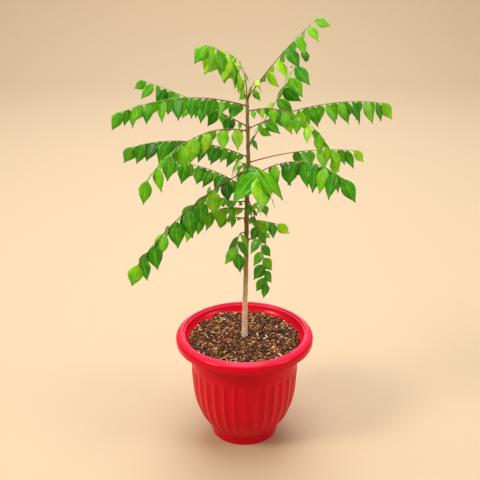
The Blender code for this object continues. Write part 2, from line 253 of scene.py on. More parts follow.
# The floor, in metres, and the lamps: name, place, height aimed at, width, watts and colour.
FLOOR_HALF_WIDTH = 6.0
WALL_DEPTH = 3.0
WALL_HEIGHT = 3.2
WALL_BEND_RADIUS = 0.7
WALL_BEND_STEPS = 15
LAMPS = (
    ("key", (-2.2, -1.1, 2.4), 0.35, 1.0, 66.0, "#fff8ee"),
    ("fill", (2.3, -0.8, 1.8), 0.35, 1.1, 24.0, "#fff4e6"),
    ("sky", (0.0, 0.0, 2.9), 0.45, 1.7, 56.0, "#f0f4ff"),
    ("back", (0.0, 1.9, 2.2), 0.3, 2.5, 74.0, "#e6eeff"),
)
WORLD_STRENGTH = 0.38

# The camera, set from the lip's ellipse and the planter's outline in the photograph.
CAMERA_PLACE = Vector((-0.0082, -1.7344, 1.1606))
CAMERA_PITCH = 66.0
CAMERA_LENS = 81.2
SENSOR_WIDTH = 36.0
CLIP_END = 50.0

# A Mix node's sockets for colours, which come after those for numbers and vectors.
MIX_FACTOR = 0
MIX_FIRST = 6
MIX_SECOND = 7
MIX_RESULT = 2


def linear(hex_colour):
    """An sRGB hex colour as linear RGBA."""
    values = [int(hex_colour[i : i + 2], 16) / 255 for i in (1, 3, 5)]
    return (*[v / 12.92 if v <= 0.04045 else ((v + 0.055) / 1.055) ** 2.4 for v in values], 1.0)


def smooth_step(value):
    value = max(0.0, min(1.0, value))
    return value * value * (3.0 - 2.0 * value)


def fill(tree, node, inputs):
    """Fills a node's inputs, by values or by links from other nodes."""
    for key, value in inputs.items():
        if isinstance(value, bpy.types.NodeSocket):
            tree.links.new(value, node.inputs[key])
        else:
            node.inputs[key].default_value = value


def add(tree, kind, inputs, output=0, stops=(), **settings):
    """Adds a node with its settings, its ramp's (place, hex colour) stops and its inputs; gives an output."""
    made = tree.nodes.new(kind)
    for name, value in settings.items():
        setattr(made, name, value)
    fill(tree, made, inputs)
    elements = made.color_ramp.elements if stops else ()
    while len(elements) < len(stops):
        elements.new(0.5)
    for element, (place, colour) in zip(elements, stops):
        element.position = place
        element.color = linear(colour)
    return made.outputs[output]


def finished_material(name, build):
    """A material whose Principled shader has the inputs that build gives for its node tree."""
    made = bpy.data.materials.new(name)
    made.use_nodes = True
    tree = made.node_tree
    fill(tree, tree.nodes["Principled BSDF"], build(tree))
    return made


def noise_scale(size):
    """The scale of a noise on Object coordinates whose features are about size millimetres across."""
    return 1.0 / (size * MM)


def red_polypropylene(tree):
    """Injection-moulded polypropylene: a saturated red with a wide soft gloss, and a painted pink highlight
    on the lip's top.
    """
    place = add(tree, "ShaderNodeTexCoord", {}, "Object")
    cloud = add(
        tree, "ShaderNodeTexNoise", {"Vector": place, "Scale": noise_scale(60.0), "Detail": 3.0}, "Fac"
    )
    red = add(tree, "ShaderNodeValToRGB", {"Fac": cloud}, "Color", ((0.3, "#d0001c"), (0.7, "#d80022")))
    # The lip's top is mixed towards pink by height: a painted highlight, not a colour of the plastic.
    height = add(tree, "ShaderNodeSeparateXYZ", {"Vector": place}, "Z")
    highlight_limits = {"From Min": (POT_HEIGHT - LIP_HIGHLIGHT_DEPTH) * MM, "From Max": POT_HEIGHT * MM}
    painted_highlight_share = add(
        tree, "ShaderNodeMapRange", {"Value": height, **highlight_limits, "To Max": LIP_HIGHLIGHT_SHARE}, "Result"
    )
    red_with_painted_highlight = add(
        tree, "ShaderNodeMix", {MIX_FACTOR: painted_highlight_share, MIX_FIRST: red, MIX_SECOND: linear("#ea4062")}, MIX_RESULT,
        data_type="RGBA",
    )
    wear = add(
        tree, "ShaderNodeTexNoise", {"Vector": place, "Scale": noise_scale(30.0), "Detail": 3.0}, "Fac"
    )
    rough = add(
        tree, "ShaderNodeMapRange",
        {"Value": wear, "From Min": 0.3, "From Max": 0.7, "To Min": 0.22, "To Max": 0.27}, "Result",
    )
    ripple = add(
        tree, "ShaderNodeTexNoise", {"Vector": place, "Scale": noise_scale(8.0), "Detail": 1.0}, "Fac"
    )
    normal = add(tree, "ShaderNodeBump", {"Height": ripple, "Distance": 0.012 * MM}, "Normal")
    return {
        "Base Color": red_with_painted_highlight, "Roughness": rough, "Normal": normal, "IOR": 1.49, "Specular IOR Level": 0.15,
    }


def damp_soil(tree):
    """The fine dark matter under the chips: matt, almost black in the gaps."""
    place = add(tree, "ShaderNodeTexCoord", {}, "Object")
    grain = add(
        tree, "ShaderNodeTexNoise",
        {"Vector": place, "Scale": noise_scale(2.5), "Detail": 6.0, "Roughness": 0.7}, "Fac",
    )
    colour = add(
        tree, "ShaderNodeValToRGB", {"Fac": grain}, "Color",
        ((0.3, "#160c07"), (0.55, "#33201a"), (0.75, "#5b3c28")),
    )
    normal = add(tree, "ShaderNodeBump", {"Height": grain, "Distance": 1.2 * MM}, "Normal")
    return {"Base Color": colour, "Roughness": 0.95, "Normal": normal}


def bark_chips(tree):
    """Shredded coir and bark: each chip its own brown, near black to pale straw, with a fibrous grain."""
    tone = add(tree, "ShaderNodeAttribute", {}, "Fac", attribute_name="tone")
    brown = add(
        tree, "ShaderNodeValToRGB", {"Fac": tone}, "Color",
        (
            (0.0, "#1a0c05"), (0.3, "#5c341a"), (0.6, "#9a5a2e"), (0.82, "#c48448"), (0.95, "#e0b074"),
            (1.0, "#f4d4a4"),
        ),
    )
    place = add(tree, "ShaderNodeTexCoord", {}, "Object")
    # Real fibres are about 0.2 mm thick. They are drawn coarser, so that they show.
    fibre = add(
        tree, "ShaderNodeTexNoise",
        {"Vector": place, "Scale": noise_scale(1.2), "Detail": 4.0, "Roughness": 0.65}, "Fac",
    )
    shade = add(
        tree, "ShaderNodeMapRange",
        {"Value": fibre, "From Min": 0.3, "From Max": 0.7, "To Min": 0.6, "To Max": 1.25}, "Result",
    )
    shaded = add(
        tree, "ShaderNodeMix", {MIX_FACTOR: 1.0, MIX_FIRST: brown, MIX_SECOND: shade}, MIX_RESULT,
        data_type="RGBA", blend_type="MULTIPLY",
    )
    normal = add(tree, "ShaderNodeBump", {"Height": fibre, "Distance": 0.5 * MM}, "Normal")
    return {"Base Color": shaded, "Roughness": 0.85, "Specular IOR Level": 0.25, "Normal": normal}


def young_bark(tree):
    """Thin young bark: pale tan and lightly ringed at the soil, browner and greener towards the crown."""
    place = add(tree, "ShaderNodeTexCoord", {}, "Object")
    height = add(tree, "ShaderNodeSeparateXYZ", {"Vector": place}, "Z")
    climb = add(
        tree, "ShaderNodeMapRange",
        {"Value": height, "From Min": 190.0 * MM, "From Max": 650.0 * MM}, "Result",
    )
    tan = add(
        tree, "ShaderNodeValToRGB", {"Fac": climb}, "Color",
        (
            (0.0, "#ffe8c8"), (0.14, "#f4d6a8"), (0.3, "#a8935a"), (0.5, "#82703a"), (0.8, "#867a36"),
            (1.0, "#8c8c3c"),
        ),
    )
    drawn_up = add(tree, "ShaderNodeMapping", {"Vector": place, "Scale": (1.0, 1.0, 0.16)}, "Vector")
    streak = add(
        tree, "ShaderNodeTexNoise",
        {"Vector": drawn_up, "Scale": noise_scale(2.2), "Detail": 5.0, "Roughness": 0.65}, "Fac",
    )
    drawn_round = add(tree, "ShaderNodeMapping", {"Vector": place, "Scale": (0.25, 0.25, 1.0)}, "Vector")
    ring = add(
        tree, "ShaderNodeTexNoise",
        {"Vector": drawn_round, "Scale": noise_scale(3.0), "Detail": 3.0, "Roughness": 0.6}, "Fac",
    )
    both = add(tree, "ShaderNodeMath", {0: streak, 1: ring}, operation="MULTIPLY")
    shade = add(
        tree, "ShaderNodeMapRange",
        {"Value": both, "From Min": 0.12, "From Max": 0.4, "To Min": 0.72, "To Max": 1.2}, "Result",
    )
    shaded = add(
        tree, "ShaderNodeMix", {MIX_FACTOR: 1.0, MIX_FIRST: tan, MIX_SECOND: shade}, MIX_RESULT,
        data_type="RGBA", blend_type="MULTIPLY",
    )
    normal = add(tree, "ShaderNodeBump", {"Height": both, "Distance": 0.6 * MM}, "Normal")
    return {"Base Color": shaded, "Roughness": 0.8, "Specular IOR Level": 0.3, "Normal": normal}


def leaf_stalk(tree):
    """The rachis: a slim stalk, reddish brown on its lower half and green where leaflets start."""
    along = add(tree, "ShaderNodeAttribute", {}, "Fac", attribute_name="tone")
    colour = add(
        tree, "ShaderNodeValToRGB", {"Fac": along}, "Color",
        ((0.0, "#7a4628"), (0.3, "#84562e"), (0.6, "#7e8034"), (1.0, "#86a83c")),
    )
    place = add(tree, "ShaderNodeTexCoord", {}, "Object")
    grain = add(tree, "ShaderNodeTexNoise", {"Vector": place, "Scale": noise_scale(0.8)}, "Fac")
    normal = add(tree, "ShaderNodeBump", {"Height": grain, "Distance": 0.1 * MM}, "Normal")
    return {"Base Color": colour, "Roughness": 0.5, "Normal": normal}


def leaf_lines(tree):
    """The midrib and faint side veins, from 0 to 1, on the blade's own UV map: u across it, v along it."""
    uv = add(tree, "ShaderNodeTexCoord", {}, "UV")
    u = add(tree, "ShaderNodeSeparateXYZ", {"Vector": uv}, "X")
    along = u.node.outputs["Y"]
    offset = add(tree, "ShaderNodeMath", {0: u, 1: 0.5}, operation="SUBTRACT")
    across = add(tree, "ShaderNodeMath", {0: offset}, operation="ABSOLUTE")
    rib = add(
        tree, "ShaderNodeMapRange",
        {"Value": across, "From Min": 0.015, "From Max": 0.06, "To Min": 1.0, "To Max": 0.0}, "Result",
    )
    # Nine pairs of side veins slant forward from the midrib. Real blades have more, too fine to show here.
    slant = add(tree, "ShaderNodeMath", {0: across, 1: -1.1, 2: along}, operation="MULTIPLY_ADD")
    waves = add(tree, "ShaderNodeMath", {0: slant, 1: 2 * math.pi * 9}, operation="MULTIPLY")
    crest = add(tree, "ShaderNodeMath", {0: waves}, operation="SINE")
    vein = add(
        tree, "ShaderNodeMapRange",
        {"Value": crest, "From Min": 0.75, "From Max": 1.0, "To Max": 0.35}, "Result",
    )
    return add(tree, "ShaderNodeMath", {0: rib, 1: vein}, operation="MAXIMUM")


def leaf_skin(tree, greens, roughness, vein_lift):
    """A leaflet's skin: its own green by age, mottled, waxy and a little see-through, with paler veins."""
    place = add(tree, "ShaderNodeTexCoord", {}, "Object")
    patches = add(
        tree, "ShaderNodeTexNoise", {"Vector": place, "Scale": noise_scale(14.0), "Detail": 3.0}, "Fac"
    )
    mottle = add(
        tree, "ShaderNodeMapRange",
        {"Value": patches, "From Min": 0.3, "From Max": 0.7, "To Min": -0.12, "To Max": 0.12}, "Result",
    )
    tone = add(tree, "ShaderNodeAttribute", {}, "Fac", attribute_name="tone")
    aged = add(tree, "ShaderNodeMath", {0: tone, 1: mottle}, operation="ADD")
    green = add(tree, "ShaderNodeValToRGB", {"Fac": aged}, "Color", greens)
    lines = leaf_lines(tree)
    share = add(tree, "ShaderNodeMath", {0: lines, 1: 0.24}, operation="MULTIPLY")
    veined = add(
        tree, "ShaderNodeMix",
        {MIX_FACTOR: share, MIX_FIRST: green, MIX_SECOND: linear("#b9d650")}, MIX_RESULT, data_type="RGBA",
    )
    fine = add(
        tree, "ShaderNodeTexNoise", {"Vector": place, "Scale": noise_scale(1.5), "Detail": 3.0}, "Fac"
    )
    height = add(tree, "ShaderNodeMath", {0: lines, 1: vein_lift, 2: fine}, operation="MULTIPLY_ADD")
    normal = add(tree, "ShaderNodeBump", {"Height": height, "Distance": 0.18 * MM}, "Normal")
    return {
        "Base Color": veined, "Roughness": roughness, "Normal": normal,
        "IOR": 1.43, "Specular IOR Level": 0.35,
        "Subsurface Weight": 0.35, "Subsurface Radius": (0.55, 1.0, 0.12), "Subsurface Scale": 2.5 * MM,
    }


def glossy_leaf(tree):
    """A leaflet's upper skin: deep green and waxy, with its veins sunk in."""
    greens = ((0.0, "#124e00"), (0.3, "#2e7e02"), (0.55, "#60a804"), (0.8, "#94c80c"), (1.0, "#c2e020"))
    return leaf_skin(tree, greens, 0.25, -1.0)


def matt_leaf(tree):
    """A leaflet's lower skin: paler and duller, with its veins standing up."""
    greens = ((0.0, "#32700c"), (0.3, "#4c9010"), (0.55, "#72ae14"), (0.8, "#9ecc20"), (1.0, "#c4e034"))
    return leaf_skin(tree, greens, 0.5, 1.2)


def pale_paper(tree):
    """Matt backdrop paper in a warm cream."""
    return {"Base Color": linear("#bea785"), "Roughness": 0.9}


def finished_mesh(name, shape, materials):
    """The bmesh as a smooth object in the scene, with its place in its mesh."""
    mesh = bpy.data.meshes.new(name)
    shape.to_mesh(mesh)
    shape.free()
    for material in materials:
        mesh.materials.append(material)
    mesh.shade_smooth()
    made = bpy.data.objects.new(name, mesh)
    bpy.context.scene.collection.objects.link(made)
    return made


def finished_piece(name, shape, materials, slot, *nodes):
    """The bmesh as a piece that rides on the root and stands for the CAD nodes."""
    piece = finished_mesh(name, shape, materials)
    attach(piece, "root")
    if nodes:
        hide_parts(*nodes)
    return piece


def arc(center, radii, first, last, steps):
    """Points on an ellipse's arc in the (radius, height) plane."""
    angles = [math.radians(first + (last - first) * i / steps) for i in range(steps + 1)]
    return [(center[0] + radii[0] * math.cos(a), center[1] + radii[1] * math.sin(a)) for a in angles]


def body_radius(height):
    """The planter body's outer radius: nearly straight under the lip, then drawn in to the foot."""
    top = POT_HEIGHT - LIP_HEIGHT
    share = max(0.0, (top - height) / (top - FOOT_HEIGHT))
    drawn_in = BODY_RADIUS - FOOT_TOP_RADIUS
    return BODY_RADIUS - BODY_TAPER * share - (drawn_in - BODY_TAPER) * share**BODY_CURVE


def lip_profile():
    """The lip's section: the collar, its thin bead, a narrow groove, the crest, the roll and a lower bead."""
    under = POT_HEIGHT - LIP_HEIGHT
    edge_height = POT_HEIGHT - LIP_EDGE_DROP
    collar_height = POT_HEIGHT - COLLAR_DROP
    section = [(COLLAR_RADIUS - 1.0, collar_height - 0.6), (COLLAR_RADIUS, collar_height)]
    section += [(LIP_EDGE_RADIUS - 1.4, edge_height - 3.4)]
    section += arc((LIP_EDGE_RADIUS, edge_height - 1.6), LIP_EDGE_RADII, 160.0, 30.0, 5)
    section += arc((LIP_EDGE_RADIUS + 1.7, edge_height - 0.2), LIP_GROOVE_RADII, 225.0, 300.0, 3)
    section += arc((LIP_CREST_RADIUS + 0.5, POT_HEIGHT - LIP_CREST_RADII[1]), LIP_CREST_RADII, 165.0, 62.0, 7)
    roll_center = (LIP_RADIUS - LIP_ROLL_RADIUS, edge_height - LIP_ROLL_RADIUS)
    section += arc(roll_center, (LIP_ROLL_RADIUS, LIP_ROLL_RADIUS), 62.0, -8.0, 12)
    section += [(LIP_RADIUS - 1.3, under + 3.2)]
    bead_center = (LIP_RADIUS - 1.0 - LIP_BEAD_RADIUS, under + LIP_BEAD_RADIUS)
    section += arc(bead_center, (LIP_BEAD_RADIUS, LIP_BEAD_RADIUS), 45.0, -90.0, 6)
    return section


def pot_profile():
    """Half of the planter's section, from its floor's middle, over the lip, to the middle of its base."""
    under = POT_HEIGHT - LIP_HEIGHT
    inner = [(0.0, FLOOR), (FOOT_BASE_RADIUS - WALL, FLOOR)]
    inner += [(body_radius(height) - WALL, height) for height in (*INNER_HEIGHTS, under)]
    fillet_center = (BODY_RADIUS + FILLET_RADIUS, under - FILLET_RADIUS)
    fillet = [(BODY_RADIUS + 6.0, under), (BODY_RADIUS + FILLET_RADIUS, under)]
    fillet += arc(fillet_center, (FILLET_RADIUS, FILLET_RADIUS), 110.0, 180.0, 4)
    first = under - 4.0
    heights = [first - (first - FOOT_HEIGHT) * i / BODY_ROWS for i in range(BODY_ROWS + 1)]
    body = [(body_radius(height), height) for height in heights]
    foot = [(FOOT_TOP_RADIUS - 0.9, FOOT_HEIGHT - 1.2), (FOOT_TOP_RADIUS - 1.3, FOOT_HEIGHT - 5.0)]
    foot += [(FOOT_BASE_RADIUS + 0.8, 5.0)]
    foot += arc((FOOT_BASE_RADIUS - 1.5, FOOT_EDGE_RADII[1]), FOOT_EDGE_RADII, 10.0, -90.0, 4)
    reach = DRAIN_RADIUS + 1.0
    shares = [1.0 - 2.0 * i / (DRAIN_RINGS - 1) for i in range(DRAIN_RINGS)]
    base = [(DRAIN_CIRCLE_RADIUS + reach * share, 0.0) for share in shares] + [(0.0, 0.0)]
    return inner + lip_profile() + fillet + body + foot + base


def drain_rise(place):
    """How far a drain knock-out is set up into the base at this place."""
    angles = [2 * math.pi * i / DRAIN_COUNT for i in range(DRAIN_COUNT)]
    centers = [DRAIN_CIRCLE_RADIUS * MM * Vector((math.cos(angle), math.sin(angle))) for angle in angles]
    nearest = min((place.xy - center).length / MM for center in centers)
    return DRAIN_DEPTH * smooth_step((DRAIN_RADIUS + 0.4 - nearest) / 0.8) * MM


def flute_depth(angle, height):
    """How deep a flute is pressed in at this place: a shallow round channel, arched at its top."""
    across = 2.0 * ((angle * FLUTES / (2 * math.pi)) % 1.0) - 1.0
    share = min(1.0, abs(across) / FLUTE_SHARE)
    hollow = math.sqrt(1.0 - share * share)
    arch = FLUTE_TOP - FLUTE_ARCH * (1.0 - hollow)
    top = smooth_step((arch - height) / FLUTE_TOP_FADE)
    bottom = smooth_step((height - FLUTE_BOTTOM) / FLUTE_BOTTOM_FADE)
    return FLUTE_DEPTH * hollow * top * bottom


def spin_section(shape, profile, steps):
    """A closed solid of revolution about the upright axis from (radius, height) points."""
    points = [shape.verts.new((radius * MM, 0.0, height * MM)) for radius, height in profile]
    edges = [shape.edges.new(pair) for pair in zip(points, points[1:])]
    bmesh.ops.spin(
        shape, geom=points + edges, cent=(0, 0, 0), axis=(0, 0, 1), dvec=(0, 0, 0),
        angle=2 * math.pi, steps=steps, use_merge=True, use_duplicate=False,
    )
    bmesh.ops.remove_doubles(shape, verts=shape.verts, dist=0.01 * MM)


def make_pot(material):
    """The planter, spun from its section, with its flutes pressed in and its drain knock-outs set up."""
    shape = bmesh.new()
    spin_section(shape, pot_profile(), FLUTES * FLUTE_FACETS)
    for vertex in shape.verts:
        radius, height = vertex.co.xy.length, vertex.co.z / MM
        outside = radius / MM > body_radius(height) - 0.5 * WALL
        if outside and FOOT_HEIGHT < height < FLUTE_TOP:
            depth = flute_depth(math.atan2(vertex.co.y, vertex.co.x), height) * MM
            vertex.co.xy *= 1.0 - depth / radius
        if height < 0.5 * DRAIN_DEPTH and radius / MM < FOOT_BASE_RADIUS - 5.0:
            vertex.co.z = drain_rise(vertex.co)
    bmesh.ops.recalc_face_normals(shape, faces=shape.faces)
    finished_piece("planter", shape, [material], "red_plastic", "pot")


def soil_height(x, y):
    """The potting mix's top: lumpy, heaped round the stem and a little behind it, sunk at the collar."""
    radius = math.hypot(x, y) / MM
    lumps = noise.fractal(Vector((x * SOIL_LUMPS_PER_METRE, y * SOIL_LUMPS_PER_METRE, 0.3)), 1.0, 2.0, 3)
    from_heap = [
        (value / MM - center) / spread
        for value, center, spread in zip((x, y), SOIL_HEAP_PLACE, SOIL_HEAP_SPREAD)
    ]
    heap = SOIL_HEAP * math.exp(-(from_heap[0] ** 2) - from_heap[1] ** 2)
    dome = SOIL_DOME * math.exp(-((radius / SOIL_DOME_RADIUS) ** 2))
    sunk = SOIL_SINK * smooth_step((radius - SOIL_SINK_START) / SOIL_SINK_WIDTH)
    return (SOIL_TOP + SOIL_RELIEF * lumps + heap + dome - sunk) * MM


def make_soil(material):
    """The bed of fine soil, closed down to the planter's floor."""
    shape = bmesh.new()
    profile = [(SOIL_EDGE_RADIUS * i / SOIL_RINGS, SOIL_TOP) for i in range(SOIL_RINGS + 1)]
    sides = (POT_HEIGHT - LIP_HEIGHT, *reversed(INNER_HEIGHTS))
    profile += [(body_radius(height) - WALL - SOIL_CLEARANCE, height) for height in sides]
    profile += [(FOOT_BASE_RADIUS - WALL - SOIL_CLEARANCE, FLOOR + GAP), (0.0, FLOOR + GAP)]
    spin_section(shape, profile, SOIL_STEPS)
    for vertex in shape.verts:
        if vertex.co.z > (SOIL_TOP - 1.0) * MM:
            vertex.co.z = soil_height(vertex.co.x, vertex.co.y) - BED_DROP * MM
    bmesh.ops.recalc_face_normals(shape, faces=shape.faces)
    finished_piece("soil_bed", shape, [material], "potting_soil", "soil")


def make_chips(material):
    """Loose coir and bark chips: round pebbles stretched, bent and jittered into slivers, each at a slant."""
    rng = random.Random(SEED)
    round_pebble = bmesh.new()
    bmesh.ops.create_icosphere(round_pebble, subdivisions=1, radius=1.0)
    corners = [vertex.co.copy() for vertex in round_pebble.verts]
    pebble = bpy.data.meshes.new("pebble")
    round_pebble.to_mesh(pebble)
    round_pebble.free()
    shape = bmesh.new()
    tone = shape.verts.layers.float.new("tone")
    places, tones = [], []
    for _ in range(CHIPS):
        reach = (SOIL_EDGE_RADIUS + 0.5) * math.sqrt(rng.random())
        angle = rng.uniform(0.0, 2 * math.pi)
        x, y = reach * math.cos(angle) * MM, reach * math.sin(angle) * MM
        if reach < TRUNK_POINTS[0][3] + 1.5:
            continue
        length = rng.choice(CHIP_LENGTHS) * rng.uniform(*CHIP_LENGTH_RANGE)
        size = Vector((length, rng.uniform(*CHIP_WIDTHS), rng.uniform(*CHIP_HEIGHTS))) * MM * 0.5
        roll = Matrix.Rotation(rng.gauss(0.0, CHIP_ROLL), 4, "X")
        pitch = Matrix.Rotation(rng.gauss(0.0, CHIP_PITCH), 4, "Y")
        turn = Matrix.Rotation(rng.uniform(0.0, 2 * math.pi), 4, "Z")
        lift = soil_height(x, y) + rng.uniform(*CHIP_LIFTS) * MM
        place = Matrix.Translation((x, y, lift)) @ turn @ (roll @ pitch) @ Matrix.Diagonal((*size, 1.0))
        curl = rng.uniform(-CHIP_CURL, CHIP_CURL)
        shade = min(1.0, max(0.0, rng.gauss(*CHIP_TONE)))
        if rng.random() < PALE_CHIP_SHARE:
            shade = rng.uniform(*PALE_CHIP_TONES)
        shape.from_mesh(pebble)
        for corner in corners:
            point = corner + Vector([rng.uniform(-CHIP_JITTER, CHIP_JITTER) for _ in range(3)])
            point.y += curl * point.x * point.x
            places.append(place @ point)
            tones.append(shade)
    bpy.data.meshes.remove(pebble)
    for vertex, point, shade in zip(shape.verts, places, tones):
        vertex.co = point
        vertex[tone] = shade
    piece = finished_piece("soil_chips", shape, [material], "potting_soil")
    piece.data.set_sharp_from_angle(angle=math.radians(CHIP_SHARP_ANGLE))


def trunk_at(height):
    """The trunk's centre and radius at a height, in millimetres."""
    for low, high in zip(TRUNK_POINTS, TRUNK_POINTS[1:]):
        if height <= high[0]:
            share = max(0.0, (height - low[0]) / (high[0] - low[0]))
            x, y, radius = (a + (b - a) * share for a, b in zip(low[1:], high[1:]))
            return Vector((x, y, height)), radius
    return Vector((*TRUNK_POINTS[-1][1:3], height)), TRUNK_POINTS[-1][3]


def loft_along(shape, points, radii, sides, tones, tone):
    """A closed round stalk through the points, as rings bridged one to the next and capped."""
    rings = []
    across = (points[1] - points[0]).orthogonal().normalized()
    for i, (point, radius) in enumerate(zip(points, radii)):
        ahead = (points[min(i + 1, len(points) - 1)] - points[max(i - 1, 0)]).normalized()
        across = (across - ahead * across.dot(ahead)).normalized()
        turn = Matrix((across, ahead.cross(across), ahead)).transposed().to_4x4()
        made = bmesh.ops.create_circle(
            shape, cap_ends=i in (0, len(points) - 1), segments=sides, radius=radius,
            matrix=Matrix.Translation(point) @ turn,
        )
        for vertex in made["verts"]:
            vertex[tone] = tones[i]
        rings.append(made["verts"])
    for pair in zip(rings, rings[1:]):
        edges = {
            edge
            for ring in pair
            for vertex in ring
            for edge in vertex.link_edges
            if edge.other_vert(vertex) in ring
        }
        bmesh.ops.bridge_loops(shape, edges=list(edges))


def make_trunk(material):
    """The woody stem: slim, a little crooked, swollen where each stalk leaves it."""
    shape = bmesh.new()
    tone = shape.verts.layers.float.new("tone")
    first = SOIL_TOP - TRUNK_SUNK
    count = int((TRUNK_POINTS[-1][0] + TRUNK_PAST_END - first) / TRUNK_STEP)
    points, radii = [], []
    for i in range(count + 1):
        height = first + TRUNK_STEP * i
        center, radius = trunk_at(height)
        knuckles = [(height - frond["height"] + 1.0) / KNUCKLE_LENGTH for frond in FRONDS]
        swell = sum(KNUCKLE_SWELL * math.exp(-(distance**2)) for distance in knuckles)
        flare = FLARE * math.exp(-max(0.0, height - SOIL_TOP - SOIL_DOME) / FLARE_LENGTH)
        wander = [noise.noise(Vector((row, 0.0, height / WANDER_LENGTH))) for row in (0.0, 5.0)]
        points.append((Vector((center.x, center.y, height)) + Vector((*wander, 0.0)) * WANDER) * MM)
        radii.append((radius + min(KNUCKLE_MOST, swell) + flare) * MM)
    radii[-1] *= TRUNK_TIP_SHARE
    loft_along(shape, points, radii, TRUNK_SIDES, [0.0] * len(points), tone)
    for vertex in shape.verts:
        place = Vector([value * lumps for value, lumps in zip(vertex.co, BARK_LUMPS_PER_METRE)])
        center, _ = trunk_at(vertex.co.z / MM)
        away = Vector((vertex.co.x - center.x * MM, vertex.co.y - center.y * MM, 0.0))
        vertex.co += away * BARK_RELIEF * noise.noise(place)
    bmesh.ops.recalc_face_normals(shape, faces=shape.faces)
    finished_piece("stem", shape, [material], "bark", "trunk")


def frond_path(frond):
    """Points along the rachis, from the trunk's skin to the tip, and the direction at each."""
    rise, bend = math.radians(frond["rise"]), math.radians(frond["bend"])
    azimuth, turn = math.radians(frond["azimuth"]), math.radians(frond["turn"])
    center, radius = trunk_at(frond["height"])
    reach = radius + GAP + RACHIS_ROOT_RADIUS * abs(math.sin(rise))
    place = center + Vector((math.cos(azimuth), math.sin(azimuth), 0.0)) * reach
    points, directions = [place], []
    step = frond["length"] / (RACHIS_POINTS - 1)
    for i in range(RACHIS_POINTS - 1):
        share = (i + 0.5) / (RACHIS_POINTS - 1)
        slope, heading = rise - bend * share, azimuth + turn * share
        direction = Vector(
            (math.cos(slope) * math.cos(heading), math.cos(slope) * math.sin(heading), math.sin(slope))
        )
        directions.append(direction)
        points.append(points[-1] + direction * step)
    return points, directions


def point_on(points, directions, share):
    """The place and direction at a share of the rachis's length."""
    at = min(share, 0.9999) * len(directions)
    index = int(at)
    return points[index].lerp(points[index + 1], at - index), directions[index]


def leaflet_size(share):
    """Leaflets grow from the stalk to past the middle, then shrink a little to the tip."""
    growth = math.sin(math.radians(29.0 + 111.0 * share))
    return SMALLEST_SHARE + (1.0 - SMALLEST_SHARE) * growth


def leaflets_of(frond, rng):
    """(root, direction, across, length) of each leaflet, alternating along the rachis, in millimetres."""
    points, directions = frond_path(frond)
    placed = []
    for i in range(frond["leaflets"]):
        last = i == frond["leaflets"] - 1
        along = i / (frond["leaflets"] - 1)
        share = frond["bare"] + (LAST_PLACE - frond["bare"]) * along
        root, heading = point_on(points, directions, share)
        side = heading.cross(UP).normalized() * (1 if i % 2 else -1)
        down = DOWN * frond["hang"] * rng.uniform(*HANG_RANGE)
        forward = heading * rng.uniform(*LEAFLET_FORWARD)
        direction = down + forward + side * rng.uniform(*LEAFLET_SPREAD)
        if last:
            direction = heading + down * LAST_HANG
        direction.normalize()
        flat = side if last else heading
        across = (flat - direction * flat.dot(direction)).normalized()
        twist = rng.uniform(-LEAFLET_TWIST, LEAFLET_TWIST)
        across = (across * math.cos(twist) + direction.cross(across) * math.sin(twist)).normalized()
        length = frond["size"] * leaflet_size(along) * rng.uniform(*LENGTH_RANGE)
        placed.append((root, direction, across, length))
    return placed


def basal_leaflets_of(frond, rng):
    """Small leaflets, as leaflets_of gives them, between the trunk and the first full one."""
    points, directions = frond_path(frond)
    count = BASAL_LEAFLETS.get(frond["name"], 0)
    placed = []
    for i in range(count):
        share = frond["bare"] * (i + 0.8) / (count + 0.4)
        root, heading = point_on(points, directions, share)
        side = heading.cross(UP).normalized() * (-1 if i % 2 else 1)
        direction = heading * rng.uniform(*LEAFLET_FORWARD) + side * rng.uniform(*LEAFLET_SPREAD)
        down = Vector((0.0, 0.0, -frond["hang"] * rng.uniform(*HANG_RANGE)))
        direction = (direction + down).normalized()
        across = (heading - direction * heading.dot(direction)).normalized()
        length = frond["size"] * BASAL_SHARE * rng.uniform(*BASAL_LENGTH_RANGE)
        placed.append((root, direction, across, length))
    return placed


def turned_to_front(leaflet):
    """The leaflet turned about its midrib until its face looks up and to the front."""
    root, direction, _, length = leaflet
    return root, direction, FRONT_FACING.cross(direction).normalized(), length


def blade_half_width(share):
    """Half width of a leaflet at a share of its length: a short stalk, a round base and a drawn-out tip."""
    if share < BLADE_STALK:
        return 0.05
    body = math.sin(math.pi * ((share - BLADE_STALK) / (1.0 - BLADE_STALK)) ** 0.72)
    return 0.05 + 0.97 * body ** (0.72 + 0.75 * share)


